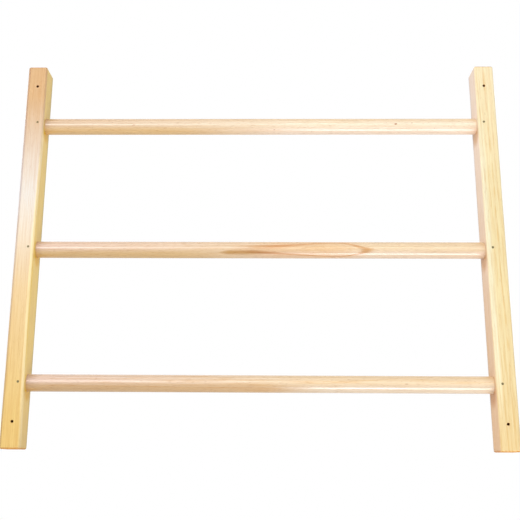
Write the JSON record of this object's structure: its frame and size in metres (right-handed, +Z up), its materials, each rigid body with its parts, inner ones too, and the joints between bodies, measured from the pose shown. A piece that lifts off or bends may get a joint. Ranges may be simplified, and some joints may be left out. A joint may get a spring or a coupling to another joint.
{
  "type": "wall bars",
  "caption": "Low wall bars: round wooden rungs set and pinned between two rounded softwood posts, with plain holes through the posts for screwing to a wall.",
  "frame": {"origin": "centre of the four fixing holes, on the wall's surface, which is the plane of the posts' back faces", "axes": "+X to the right as seen from the room, along the rungs; +Y into the wall; +Z up along the posts"},
  "size_m": [1, 0.055, 0.804],
  "materials": {
    "post_wood": "planed pine under thin satin varnish",
    "rung_wood": "sanded beech dowel under satin varnish",
    "nail_steel": "dull bright steel"
  },
  "bodies": {
    "root": {"left_post": "post_wood", "right_post": "post_wood", "top_rung": "rung_wood", "middle_rung": "rung_wood", "bottom_rung": "rung_wood", "pin_top_left": "nail_steel", "pin_top_right": "nail_steel", "pin_middle_left": "nail_steel", "pin_middle_right": "nail_steel", "pin_bottom_left": "nail_steel", "pin_bottom_right": "nail_steel"}
  },
  "joints": []
}
